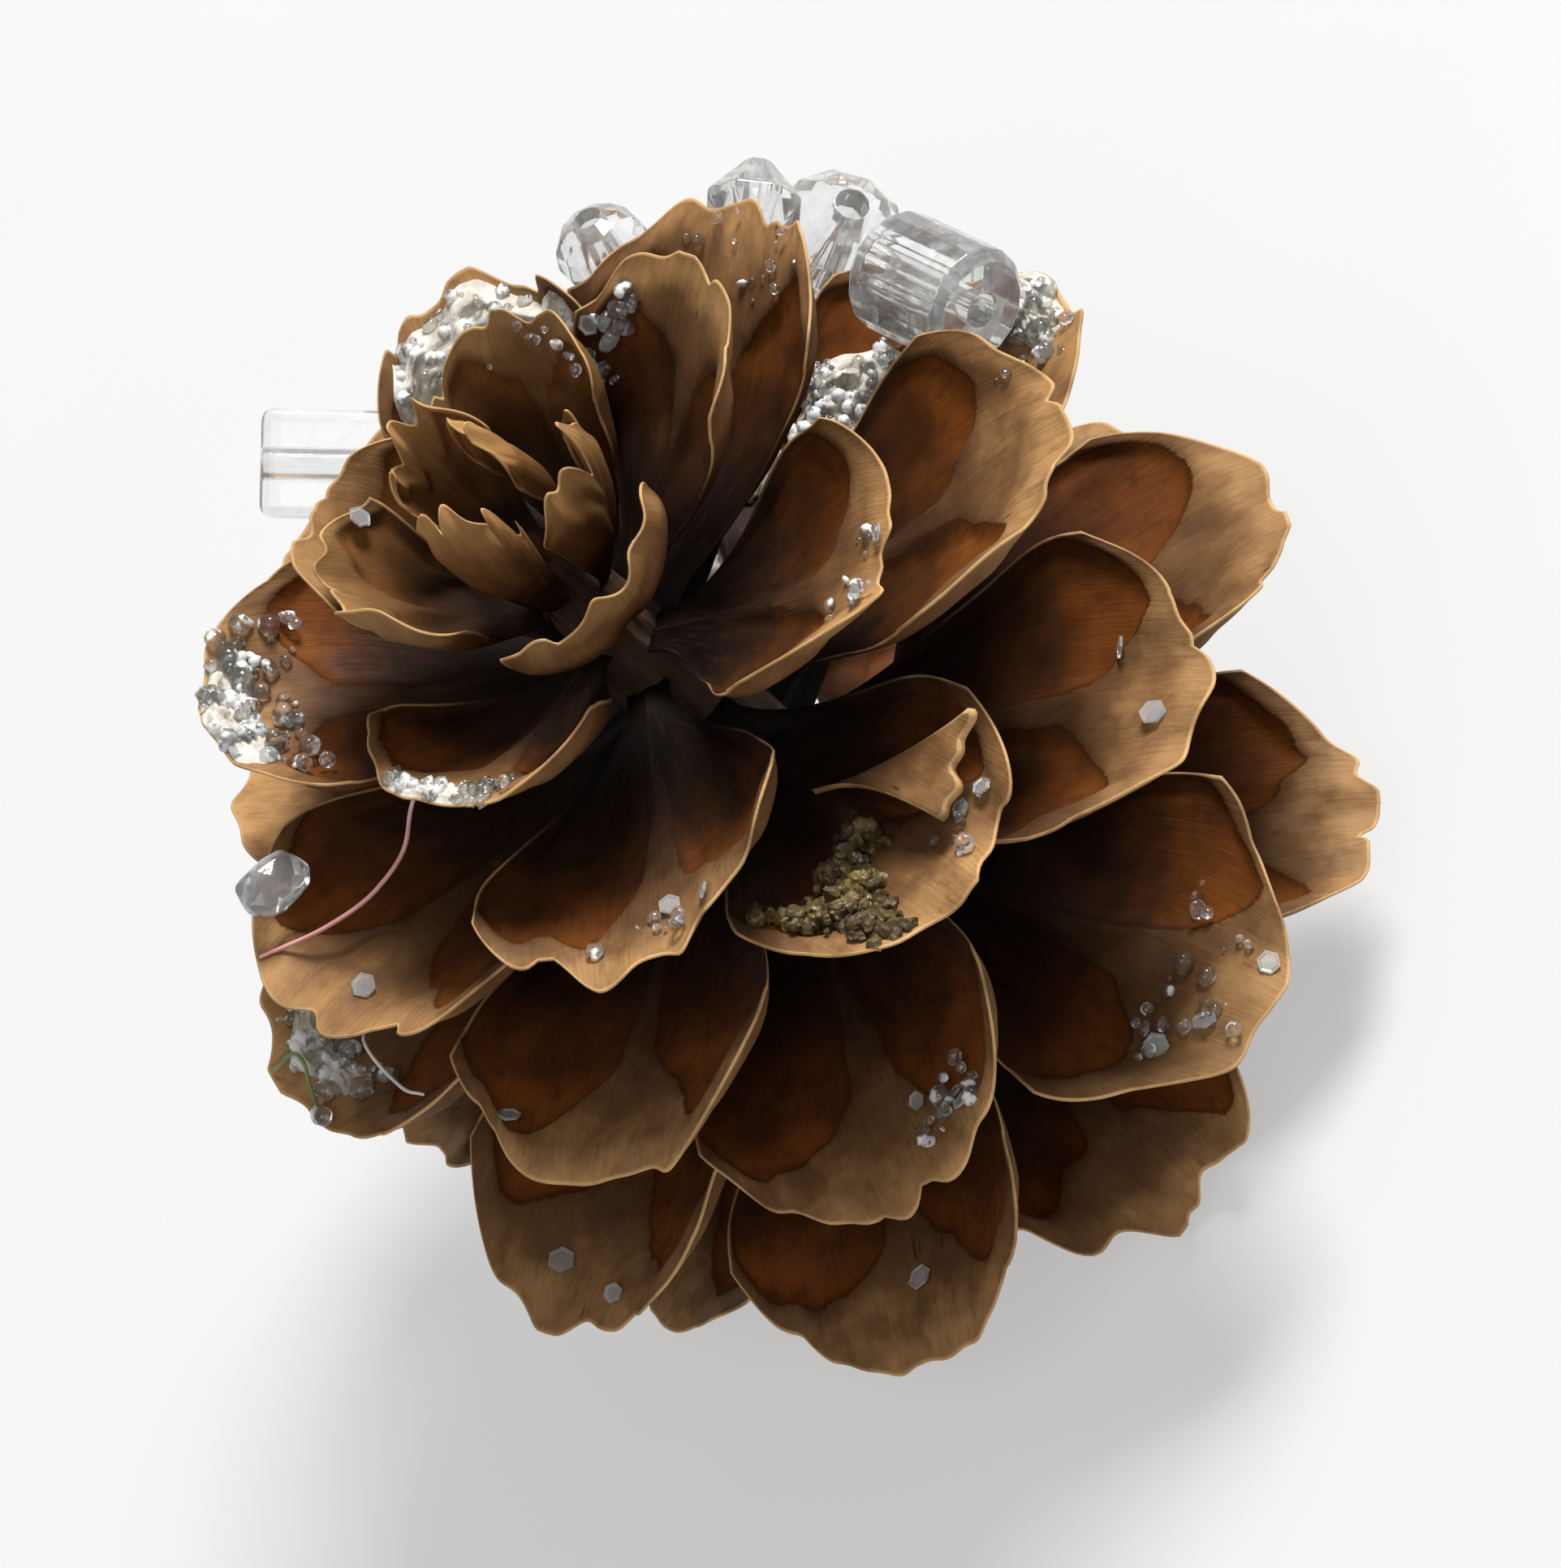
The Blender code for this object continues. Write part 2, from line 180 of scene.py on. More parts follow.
class Scale:
    """One scale: its outer face is a bent, cupped and twisted sheet; lift leads to its inner face."""

    def __init__(self, number):
        chance = random.Random(SEED + number)
        share = number / (SCALES - 1)
        grown = min(number / FULL_SIZE_SCALE, 1.0)
        foot = max(number + FOOT_SCALES + 1 - SCALES, 0) / FOOT_SCALES
        turned_by, reach, lift, wider = SET_OFF.get(number, IN_PLACE)
        arc = mix(ARC_TOP, ARC_FOOT, share**ARC_POWER)
        shift = ARC_SHIFT * math.sin(min(share / ARC_SHIFT_END, 1.0) * math.pi / 2)
        tip_r = (shift + ARC_RADIUS * math.cos(arc)) * (1 - FOOT_SHORTER * foot) + reach
        tip_z = ARC_CENTRE_Z - ARC_DROP * share + ARC_RADIUS * math.sin(arc) + lift
        tip_z = max(tip_z, 0.0)
        self.number = number
        self.claw_z = mix(TOP_CLAW_Z, FOOT_CLAW_Z, share) + CLAW_BULGE * math.sin(share * math.pi)
        self.thickness = mix(THICKNESS_TOP, THICKNESS_FULL, grown)
        width = mix(WIDTH_TOP, WIDTH_FULL, math.sin(grown * math.pi / 2) ** WIDTH_POWER)
        width *= (1 - FOOT_NARROWER * foot) * (1 + WIDTH_SPREAD * chance.uniform(-1, 1))
        self.half_width = width * wider / 2
        self.twist = TWIST * chance.uniform(-1, 1) * grown
        azimuth = FIRST_AZIMUTH - number * GOLDEN_ANGLE + math.radians(turned_by)
        azimuth += LEAN * chance.uniform(-1, 1)
        self.cup = mix(CUP_TOP, CUP_FULL, math.sin(grown * math.pi / 2)) / self.half_width
        rise = tip_z - self.claw_z
        bend = mix(BEND_TOP, BEND_FULL, grown)
        self.claw_r = axis_radius(self.claw_z) + GAP
        steep = math.atan2(rise, tip_r - self.claw_r) - bend
        self.claw_r += self.thickness * max(math.sin(steep), 0.0)
        run = tip_r - self.claw_r
        self.length = math.hypot(rise, run)
        self.start = math.atan2(rise, run) - bend
        self.bend = 2 * bend
        self.place = Matrix.Translation((0, 0, self.claw_z)) @ Matrix.Rotation(azimuth, 4, "Z")
        self.draw_own_shape(random.Random(SEED * 3 + number))

    def draw_own_shape(self, chance):
        """What makes this scale's rim, wings and curl its own. Waves are given as (rate, start)."""
        older = min(self.number / RAGGED_SCALES, 1.0)
        self.ragged = mix(RAGGED_TOP, 1.0, older) * chance.uniform(0.6, 1.3)
        self.tip_side = chance.uniform(-TIP_SIDEWAYS, TIP_SIDEWAYS)
        self.waves = [
            (chance.uniform(3, 14), chance.uniform(0, 7), chance.uniform(0.3, 1))
            for _ in range(RIM_WAVES)
        ]
        self.crinkles = [(chance.uniform(12, 30), chance.uniform(0, 7)) for _ in range(RIM_CRINKLES)]
        self.crinkled = (chance.uniform(2, 5), chance.uniform(0, 7))
        self.notches = [
            (chance.uniform(-0.9, 0.9), chance.uniform(0.07, 0.16), chance.uniform(0.2, 1))
            for _ in range(chance.choice(NOTCHES))
        ]
        self.side_waves = [(chance.uniform(6, 14), chance.uniform(0, 7)) for _ in range(2)]
        self.side_shape = [(chance.uniform(7, 15), chance.uniform(0, 7)) for _ in range(4)]
        self.side_crinkle = (chance.uniform(18, 28), chance.uniform(18, 28))
        self.curl = (chance.uniform(0.3, 1.0), chance.uniform(0.3, 1.0))
        self.wing_ends = (chance.uniform(0.87, 0.965), chance.uniform(0.87, 0.965))
        self.wing_leans = (chance.uniform(0.45, 0.85), chance.uniform(0.45, 0.85))
        self.wedge = (chance.uniform(0.10, 0.30), chance.uniform(0.10, 0.30))
        self.wedge_start = chance.uniform(0.28, 0.42)
        self.tone = chance.uniform(0, 1) * mix(1.0, OLDEST_TONE, self.number / (SCALES - 1))

    def half_width_at(self, along):
        spread = np.sin(np.clip(along / WIDEST_AT, 0, 1) * math.pi / 2) ** SPREAD_POWER
        half = mix(CLAW_HALF_WIDTH, self.half_width * FINE_WIDER, spread)
        past = np.clip(along - WIDEST_AT, 0, 1) / (1 - WIDEST_AT)
        return half * (1 - END_TAPER * past**2)

    def side_shift(self, along, across):
        """How much the two side edges wander in and out, as a share of the width."""
        left, right = (
            sum(np.sin(rate * along + start) for rate, start in pair) / 2 - 0.5
            for pair in (self.side_shape[:2], self.side_shape[2:])
        )
        left = left + 0.22 * np.sin(self.side_crinkle[0] * along)
        right = right + 0.22 * np.sin(self.side_crinkle[1] * along)
        return 1 + SIDE_WAVE * np.where(across < 0, left, right) * smooth(0.1, 0.5, along)

    def end_at(self, across):
        """Where the rim lies, as a share of the scale's length, with its waves and notches."""
        skewed = across - self.tip_side * (1 - across**2)
        end = 1 - SHOULDER * np.abs(skewed) ** SHOULDER_POWER
        wave = sum(size * np.sin(rate * across + start) for rate, start, size in self.waves)
        end = end + self.ragged * WAVE_HEIGHT / self.length * (wave / 2 - 0.8)
        crinkle = sum(np.sin(rate * across + start) for rate, start in self.crinkles)
        crinkle = (crinkle - 1.5) * np.clip(np.sin(self.crinkled[0] * across + self.crinkled[1]), 0, 1)
        end = end + self.ragged * CRINKLE / self.length * crinkle
        for middle, width, depth in self.notches:
            dip = np.clip(1 - np.abs(across - middle) / width, 0, 1) ** 1.4
            end = end - self.ragged * NOTCH_DEPTH / self.length * depth * dip
        return np.minimum(end, FARTHEST) - TRIMMED.get(self.number, 0)

    def point(self, along, across, lift):
        """Positions on the scale: along 0 to 1 from claw to tip, across -1 to 1."""
        angle = self.start + self.bend * along
        radius = self.length / (2 * math.sin(self.bend / 2))
        r = self.claw_r + radius * (np.sin(angle) - math.sin(self.start))
        z = radius * (math.cos(self.start) - np.cos(angle))
        turn = across * self.side_shift(along, across) * self.half_width_at(along) * self.cup
        side = np.sin(turn) / self.cup
        up = (1 - np.cos(turn)) / self.cup
        twist = self.twist * along
        out = up * np.cos(twist) + side * np.sin(twist)
        side = side * np.cos(twist) - up * np.sin(twist)
        inner = turn + twist
        side = side - lift * np.sin(inner)
        out = out + lift * np.cos(inner)
        local = np.stack([r - out * np.sin(angle), side, z + out * np.cos(angle)], axis=-1)
        turned = np.array(self.place.to_3x3())
        return local @ turned.T + np.array(self.place.translation)

    def wing(self, along, across):
        """How far a spot is outside the nearer seed wing's mark, in metres; along 1 is the rim."""
        left = across < 0
        share = np.clip((along - self.wedge_start) / (1 - self.wedge_start), 0, 1)
        inside = np.where(left, self.wedge[0], self.wedge[1]) * share + 0.015
        outside = 1.03 - 0.04 * along
        last = np.where(left, self.wing_ends[0], self.wing_ends[1])
        lean = np.where(left, self.wing_leans[0], self.wing_leans[1])
        share = np.clip((np.abs(across) - inside) / (outside - inside), 0, 1)
        inner_fall = WING_INNER_FALL * (np.clip(lean - share, 0, 1) / lean) ** 1.5
        outer_fall = WING_OUTER_FALL * (np.clip(share - lean, 0, 1) / (1 - lean)) ** 2
        end = last - inner_fall - outer_fall
        sides = np.maximum(inside - np.abs(across), np.abs(across) - outside) * self.half_width
        return np.maximum(sides, (along - end) * self.length * 0.8)

    def sheet(self, along, across, inner):
        """Positions of the fine sheet, on its inner face or on its outer one; along 1 is the rim."""
        end = self.end_at(across)
        far = along * end
        from_side = (1 - np.abs(across)) * self.half_width_at(far)
        rim = np.minimum(from_side, (1 - along) * self.length * end)
        thick = self.thickness * mix(RIM_THIN, 1.0, smooth(0, RIM_RUN, rim))
        grown = smooth(RUFFLED_FROM, 1.0, along)
        lift = self.thickness / 2 + (thick / 2 if inner else -thick / 2)
        lift = lift + RUFFLE * self.ragged * self.ruffle(far, across) * grown
        curl = mix(self.curl[0], self.curl[1], smooth(-0.3, 0.3, across)) * smooth(0.15, 0.65, along)
        rising = (np.clip(np.abs(across) - CURL_FROM, 0, 1) / (1 - CURL_FROM)) ** 2
        lift = lift + EDGE_CURL * self.half_width / WIDTH_FULL * 2 * curl * rising
        wing = self.wing(along, across)
        hollow = WING_HOLLOW * smooth(0.0003, -0.0008, wing) * smooth(0.2, 0.5, along)
        lift = lift - hollow * (1 if inner else HOLLOW_BEHIND)
        return self.point(far, across, lift), far, rim, wing

    def ruffle(self, along, across):
        """A gentle unevenness of the sheet, strongest at its rim, between about -1 and 1."""
        (rate_a, start_a), (rate_b, start_b) = self.side_waves
        along_side = np.sin(rate_a * along + start_a) * np.abs(across) ** 2
        along_end = np.sin(rate_b * across + start_b) * np.clip(along, 0, 1.1) ** 4
        return along_side * 0.8 + along_end * 0.8


def grid_faces(rows, columns, first, flipped):
    """The faces of a grid of rows by columns of vertices, which are numbered row by row."""
    faces = []
    for row in range(rows - 1):
        for column in range(columns - 1):
            a = first + row * columns + column
            face = (a + columns, a + columns + 1, a + 1, a)
            faces.append(face[::-1] if flipped else face)
    return faces


def grid_border(rows, columns):
    """The numbers of a grid's outer vertices, in order round it."""
    bottom = list(range(columns))
    right = [row * columns + columns - 1 for row in range(1, rows)]
    top = [(rows - 1) * columns + column for column in range(columns - 2, -1, -1)]
    left = [row * columns for row in range(rows - 2, 0, -1)]
    return bottom + right + top + left


def two_sided_faces(cells):
    """The faces of a square sheet: its top grid, its bottom grid and the strip that joins them."""
    count = cells**2
    faces = grid_faces(cells, cells, 0, False) + grid_faces(cells, cells, count, True)
    border = grid_border(cells, cells)
    for place, start in enumerate(border):
        stop = border[(place + 1) % len(border)]
        faces.append((stop, stop + count, start + count, start))
    return faces


def new_object(name, verts, faces, material, is_smooth=True):
    mesh = bpy.data.meshes.new(name)
    mesh.from_pydata([tuple(v) for v in verts], [], faces)
    mesh.materials.append(material)
    mesh.polygons.foreach_set("use_smooth", [is_smooth] * len(mesh.polygons))
    mesh.update()
    piece = bpy.data.objects.new(name, mesh)
    bpy.context.scene.collection.objects.link(piece)
    return piece


def add_values(piece, name, values):
    """Stores one number, or one vector, per vertex for the material to read."""
    values = np.asarray(values, float)
    kind = "FLOAT_VECTOR" if values.ndim == 2 else "FLOAT"
    field = "vector" if values.ndim == 2 else "value"
    layer = piece.data.attributes.new(name, kind, "POINT")
    layer.data.foreach_set(field, values.astype(np.float32).ravel())


def finish_piece(piece, slot, *nodes):
    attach(piece, "root")
    if nodes:
        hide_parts(*nodes)
    return piece


def build_scale(number, material):
    """The fine sheet of one scale: an inner and an outer grid, joined by a rounded rim."""
    scale = Scale(number)
    u = np.linspace(-1, 1, COLUMNS)
    v = np.linspace(0, 1, ROWS)
    across = 0.6 * u + 0.4 * np.sin(u * math.pi / 2)
    along = ROOT_ALONG + (1 - ROOT_ALONG) * (1 - (1 - v) ** 1.25)
    across, along = (part.ravel() for part in np.meshgrid(across, along))
    inner, far, rim, wing = scale.sheet(along, across, True)
    outer = scale.sheet(along, across, False)[0]
    border = grid_border(ROWS, COLUMNS)
    middle = (inner + outer) / 2
    out_of_rim = middle[border] - scale_inside(middle, border)
    out_of_rim /= np.linalg.norm(out_of_rim, axis=1)[:, None]
    edge = middle[border] + out_of_rim * scale.thickness * RIM_THIN * 0.4
    count = ROWS * COLUMNS
    faces = grid_faces(ROWS, COLUMNS, 0, False) + grid_faces(ROWS, COLUMNS, count, True)
    for place, start in enumerate(border):
        after = (place + 1) % len(border)
        stop = border[after]
        faces.append((stop, 2 * count + after, 2 * count + place, start))
        faces.append((2 * count + after, stop + count, start + count, 2 * count + place))
    verts = np.vstack([inner, outer, edge])
    piece = new_object(f"fine_scale_{number + 1:02d}", verts, faces, material)
    order = np.concatenate([np.arange(count), np.arange(count), border])
    add_values(piece, "wing", wing[order] / MM)
    # edge is the distance to the rim, and 0 on the rim strip; the material paints a pale band there
    # that is partly a painted highlight.
    add_values(piece, "edge", np.where(np.arange(len(order)) < 2 * count, rim[order], 0) / MM)
    add_values(piece, "along", far[order])
    add_values(piece, "inner", np.arange(len(order)) < count)
    add_values(piece, "tone", np.full(len(order), scale.tone))
    add_values(piece, "young", np.full(len(order), 1 - min(number / YOUNG_SCALES, 1)))
    grain = [across * scale.half_width / MM, far * scale.length / MM, np.full(count, number * 7.3)]
    add_values(piece, "grain", np.stack(grain, axis=-1)[order])
    return finish_piece(piece, "scale_wood", f"scale_{number + 1:02d}")


def scale_inside(middle, border):
    """For each border vertex, the grid's nearest vertex one step further in."""
    grid = np.arange(ROWS * COLUMNS).reshape(ROWS, COLUMNS)
    row = np.clip(np.array(border) // COLUMNS, 1, ROWS - 2)
    column = np.clip(np.array(border) % COLUMNS, 1, COLUMNS - 2)
    return middle[grid[row, column]]


AXIS_SIDES = 96
AXIS_ROWS = 110
AXIS_TIP_RADIUS = 0.0004


def build_axis(material):
    """The cone's stalk: turned, with flutes and bumps, and a flat cut face at its foot."""
    sides = AXIS_SIDES
    heights = np.linspace(0.0, AXIS_TURNED[0][0], AXIS_ROWS)
    verts = []
    for height in heights:
        base = axis_radius(height) if height < AXIS_TURNED[1][0] else AXIS_TIP_RADIUS
        for side in range(sides):
            angle = side / sides * 2 * math.pi
            spot = Vector((math.cos(angle) * 3, math.sin(angle) * 3, height * 900))
            bumpy = 0.94 + 0.06 * noise.noise(spot) + 0.02 * math.sin(angle * 13 + height * 900)
            radius = base * min(bumpy, 1.0)
            verts.append((radius * math.cos(angle), radius * math.sin(angle), height))
    faces = []
    for row in range(len(heights) - 1):
        for side in range(sides):
            after = (side + 1) % sides
            a, b = row * sides + side, row * sides + after
            faces.append((a, b, b + sides, a + sides))
    verts += [(0, 0, 0), (0, 0, AXIS_TURNED[0][0])]
    low, high = len(verts) - 2, len(verts) - 1
    last = (len(heights) - 1) * sides
    for side in range(sides):
        after = (side + 1) % sides
        faces.append((low, after, side))
        faces.append((high, last + side, last + after))
    return finish_piece(new_object("fine_axis", verts, faces, material), "axis_wood", "cone_axis")


BEAD_EDGE = 0.00009
BEAD_WELD = 0.00001


def build_bead(node, material):
    """A bead as its solid, with its facets' edges polished round."""
    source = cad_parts[node].data
    verts = [v.co[:] for v in source.vertices]
    faces = [tuple(p.vertices) for p in source.polygons]
    piece = new_object(f"glass_{node}", verts, faces, material, is_smooth=False)
    weld = piece.modifiers.new("weld", "WELD")
    weld.merge_threshold = BEAD_WELD
    flat = piece.modifiers.new("flat", "DECIMATE")
    flat.decimate_type = "DISSOLVE"
    flat.angle_limit = math.radians(1)
    edge = piece.modifiers.new("edge", "BEVEL")
    edge.width = BEAD_EDGE
    edge.segments = 2
    edge.limit_method = "ANGLE"
    edge.angle_limit = math.radians(12)
    edge.harden_normals = True
    return finish_piece(piece, "clear_glass", node)


def crumb_shape(detail):
    """The vertices and faces of a ball of triangles, which crumbs are made from."""
    ball = bmesh.new()
    bmesh.ops.create_icosphere(ball, subdivisions=detail, radius=1)
    verts = np.array([v.co[:] for v in ball.verts])
    faces = np.array([[v.index for v in f.verts] for f in ball.faces])
    ball.free()
    return verts, faces


class Crumbs:
    """Many small closed bodies in one piece, each a ball knocked out of shape."""

    def __init__(self, seed, detail):
        self.chance = np.random.default_rng(seed)
        self.verts, self.faces = crumb_shape(detail)
        self.all_verts = []
        self.all_faces = []
        self.count = 0

    def add(self, centre, size, rough, flat):
        """Adds a body of this radius; rough says how far its corners are moved in and out."""
        spin = np.linalg.qr(self.chance.normal(size=(3, 3)))[0]
        spin *= np.sign(np.linalg.det(spin))
        shape = self.verts * (1 + rough * self.chance.uniform(-1, 1, (len(self.verts), 1)))
        shape = (shape * np.array(flat)) @ spin.T * size + np.array(centre)
        self.all_verts.append(shape)
        self.all_faces.append(self.faces + self.count)
        self.count += len(shape)

    def build(self, name, material, slot, *nodes, is_smooth=False):
        verts = np.vstack(self.all_verts)
        faces = [tuple(int(i) for i in face) for face in np.vstack(self.all_faces)]
        piece = new_object(name, verts, faces, material, is_smooth)
        return finish_piece(piece, slot, *nodes)


CRUST_CELLS = 40
CRUST_SUNK = 0.00008  # how deep it reaches into the wood
CRUST_CORNERS_IN = 0.16
CRUST_WOBBLE = 0.16
CRUST_RIM = 0.12  # heights, as shares of its thickness
CRUST_LEVEL = 0.75
CRUST_LUMPS = 0.55
CRUST_GRIT = 0.25
CRUST_GRAIN_SIZES = (0.00012, 0.00040)
CRUST_GRAIN_ROUGH = 0.16
# Snow lying on a scale: node, scale, along from-to, across from-to, thickness, number of grains.
CRUSTS = (
    ("snow_crust_1", 10, 0.60, 0.97, -0.76, 0.80, 0.0007, 90),
    ("snow_crust_2", 21, 0.40, 0.72, 0.28, 0.93, 0.0011, 120),
    ("snow_crust_3", 26, 0.46, 0.82, -0.80, 0.80, 0.0012, 240),
    ("snow_crust_4", 23, 0.40, 0.72, -0.76, 0.76, 0.0011, 200),
    ("snow_crust_5", 31, 0.56, 0.94, -0.72, 0.72, 0.0012, 200),
)


# Smaller patches near the rims, which have no solid of their own: the same values.
PATCHES = (
    ("rim_frost_09", 9, 0.90, 1.00, -0.60, 0.25, 0.00030, 26),
    ("rim_frost_12", 12, 0.86, 1.00, -0.40, 0.62, 0.00035, 40),
    ("rim_frost_21", 21, 0.88, 1.00, -0.30, 0.60, 0.00040, 40),
    ("rim_frost_25", 25, 0.86, 0.94, -0.60, 0.20, 0.00035, 24),
    ("rim_frost_30", 30, 0.55, 0.86, -1.00, -0.88, 0.00030, 6),
    ("rim_frost_26", 26, 0.90, 1.00, -0.20, 0.70, 0.00040, 40),
    ("rim_frost_23", 23, 0.88, 1.00, -0.60, 0.30, 0.00040, 30),
)


def noise_over(u, v, rate, layer):
    """Blender's noise at each place of a grid, between about -1 and 1."""
    return np.array([noise.noise(Vector((a * rate, b * rate, layer))) for a, b in zip(u, v)])


def build_crust(node, number, a0, a1, w0, w1, thickness, grains, milky, clear):
    """A lumpy milky layer on a scale's inner face, with clear grains set in it."""
    scale = Scale(number)
    steps = np.linspace(-1, 1, CRUST_CELLS)
    u, v = np.meshgrid(steps, steps)
    u, v = u.ravel(), v.ravel()
    chance = np.random.default_rng(SEED + number)
    out = np.maximum(np.abs(u), np.abs(v))
    edge = 1 - CRUST_CORNERS_IN * (u * v) ** 2
    edge = edge * (1 + CRUST_WOBBLE * noise_over(u, v, 2.2, number) * out)
    across = mix(w0, w1, np.clip(u * edge + 1, 0, 2) / 2)
    along = mix(a0, a1, np.clip(v * edge + 1, 0, 2) / 2)
    lumps = CRUST_LUMPS * noise_over(u, v, 5, number + 9)
    grit = CRUST_GRIT * noise_over(u, v, 14, number + 3)
    height = thickness * (CRUST_RIM + smooth(1.0, 0.62, out) * (CRUST_LEVEL + lumps + grit))
    face = scale.sheet(along, across, True)[0]
    far = along * scale.end_at(across)
    off = scale.point(far, across, scale.thickness + MM) - scale.point(far, across, scale.thickness)
    off /= np.linalg.norm(off, axis=1)[:, None]
    bottom = face - off * CRUST_SUNK
    top = face + off * height[:, None]
    count = CRUST_CELLS**2
    faces = two_sided_faces(CRUST_CELLS)
    name = node.replace("snow_crust", "frost")
    nodes = [node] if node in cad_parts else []
    base = new_object(name, np.vstack([top, bottom]), faces, milky)
    finish_piece(base, "snow", *nodes)
    crumbs = Crumbs(SEED + number, 1)
    for spot in chance.integers(0, count, grains):
        where = top[spot] + (top[spot] - bottom[spot]) * 0.05
        size = chance.uniform(*CRUST_GRAIN_SIZES)
        crumbs.add(where, size, CRUST_GRAIN_ROUGH, (1, 1, chance.uniform(0.6, 1.2)))
    return crumbs.build(name + "_grains", clear, "clear_glass", is_smooth=True)


GRAIN_ROUGH = 0.10
GRAIN_HEIGHT = 0.6  # of its middle over the wood, in its own radii
# Loose grains caught on a scale's rim: scale, along from-to, across from-to, how many, largest size.
GRAIN_SPOTS = (
    (8, 0.55, 0.9, 0.6, 0.95, 26, 0.00050),
    (9, 0.86, 0.99, -0.6, 0.4, 26, 0.00030),
    (11, 0.80, 0.99, -0.6, 0.3, 16, 0.00042),
    (12, 0.75, 0.99, -0.6, 0.7, 60, 0.00050),
    (14, 0.84, 0.98, -0.4, 0.4, 10, 0.00036),
    (16, 0.84, 0.98, 0.3, 0.7, 4, 0.00030),
    (19, 0.80, 0.97, 0.1, 0.6, 7, 0.00042),
    (21, 0.72, 0.99, -0.5, 0.6, 60, 0.00045),
    (25, 0.75, 0.99, -0.7, 0.3, 40, 0.00050),
    (27, 0.80, 0.98, 0.1, 0.6, 22, 0.00042),
    (32, 0.75, 0.98, -0.6, 0.5, 24, 0.00045),
    (5, 0.80, 0.99, -0.6, 0.5, 10, 0.00028),
    (13, 0.78, 0.99, -0.6, 0.5, 16, 0.00040),
)


def build_grains(number, a0, a1, w0, w1, count, largest, material):
    """Loose grains that stuck to one scale."""
    scale = Scale(number)
    crumbs = Crumbs(SEED * 5 + number, 2)
    chance = random.Random(SEED * 5 + number)
    for _ in range(count):
        across = chance.uniform(w0, w1)
        along = chance.uniform(a0, a1) * float(scale.end_at(np.array(across)))
        size = largest * chance.uniform(0.35, 1.0) ** 1.5
        middle = scale.point(along, across, scale.thickness + size * GRAIN_HEIGHT)
        crumbs.add(middle, size, GRAIN_ROUGH, (1, 1, chance.uniform(0.5, 1.0)))
    return crumbs.build(f"grains_{number + 1:02d}", material, "clear_glass", is_smooth=True)


def sheet_spot(number, along, across, above=0.0):
    """A place on the inner face of a scale's fine sheet, or above it."""
    scale = Scale(number)
    place, low = (np.array([value]) for value in (along, across))
    low_spot = scale.sheet(place, low, True)[0][0]
    plain = scale.point(place, low, scale.thickness)[0]
    off = scale.point(place, low, scale.thickness + MM)[0] - plain
    off /= np.linalg.norm(off)
    return Vector(low_spot + off * above), Vector(off)


# Stray fibres: name, colour, radius, and each point as scale, along, across and height above it.
FIBRES = (
    ("pink", (0.72, 0.33, 0.33), 0.00009, (
        (9, 0.99, -0.30, 0.0001), (17, 0.70, -0.20, 0.0019),
        (17, 0.80, -0.28, 0.0012), (17, 0.99, -0.56, 0.0001),
    )),
    ("white", (0.85, 0.84, 0.80), 0.00007, (
        (25, 0.78, -0.10, 0.0001), (25, 0.82, 0.15, 0.0013),
        (25, 0.86, 0.55, 0.0010), (25, 0.98, 0.90, 0.0004),
    )),
    ("green", (0.16, 0.22, 0.05), 0.00008, (
        (25, 0.99, -0.24, 0.0002), (25, 0.93, -0.10, 0.0011),
        (25, 0.97, 0.10, 0.0009), (25, 0.99, 0.26, 0.0002),
    )),
    ("pale", (0.80, 0.76, 0.66), 0.00005, (
        (31, 0.96, -0.70, 0.0001), (31, 0.99, -0.40, 0.0012),
        (31, 0.90, 0.10, 0.0016), (31, 0.97, 0.45, 0.0002),
    )),
    ("straw", (0.62, 0.48, 0.28), 0.00006, (
        (26, 0.97, 0.70, 0.0001), (26, 0.92, 0.30, 0.0013),
        (26, 0.96, -0.20, 0.0011), (26, 0.99, -0.52, 0.0001),
    )),
)
FIBRE_END_RADIUS = 0.8


def build_fibre(name, colour, radius, route):
    """A thin stray fibre lying over the scales it caught on."""
    curve = bpy.data.curves.new("fibre_" + name, "CURVE")
    curve.dimensions = "3D"
    curve.bevel_depth = radius
    curve.bevel_resolution = 2
    curve.use_fill_caps = True
    spline = curve.splines.new("BEZIER")
    spline.bezier_points.add(len(route) - 1)
    for point, spot in zip(spline.bezier_points, route):
        point.co = sheet_spot(*spot)[0]
        point.handle_left_type = point.handle_right_type = "AUTO"
        point.radius = FIBRE_END_RADIUS if spot in (route[0], route[-1]) else 1.0
    curve.materials.append(fibre_material(name, colour))
    piece = bpy.data.objects.new("fibre_" + name, curve)
    bpy.context.scene.collection.objects.link(piece)
    finish_piece(piece, "snow")


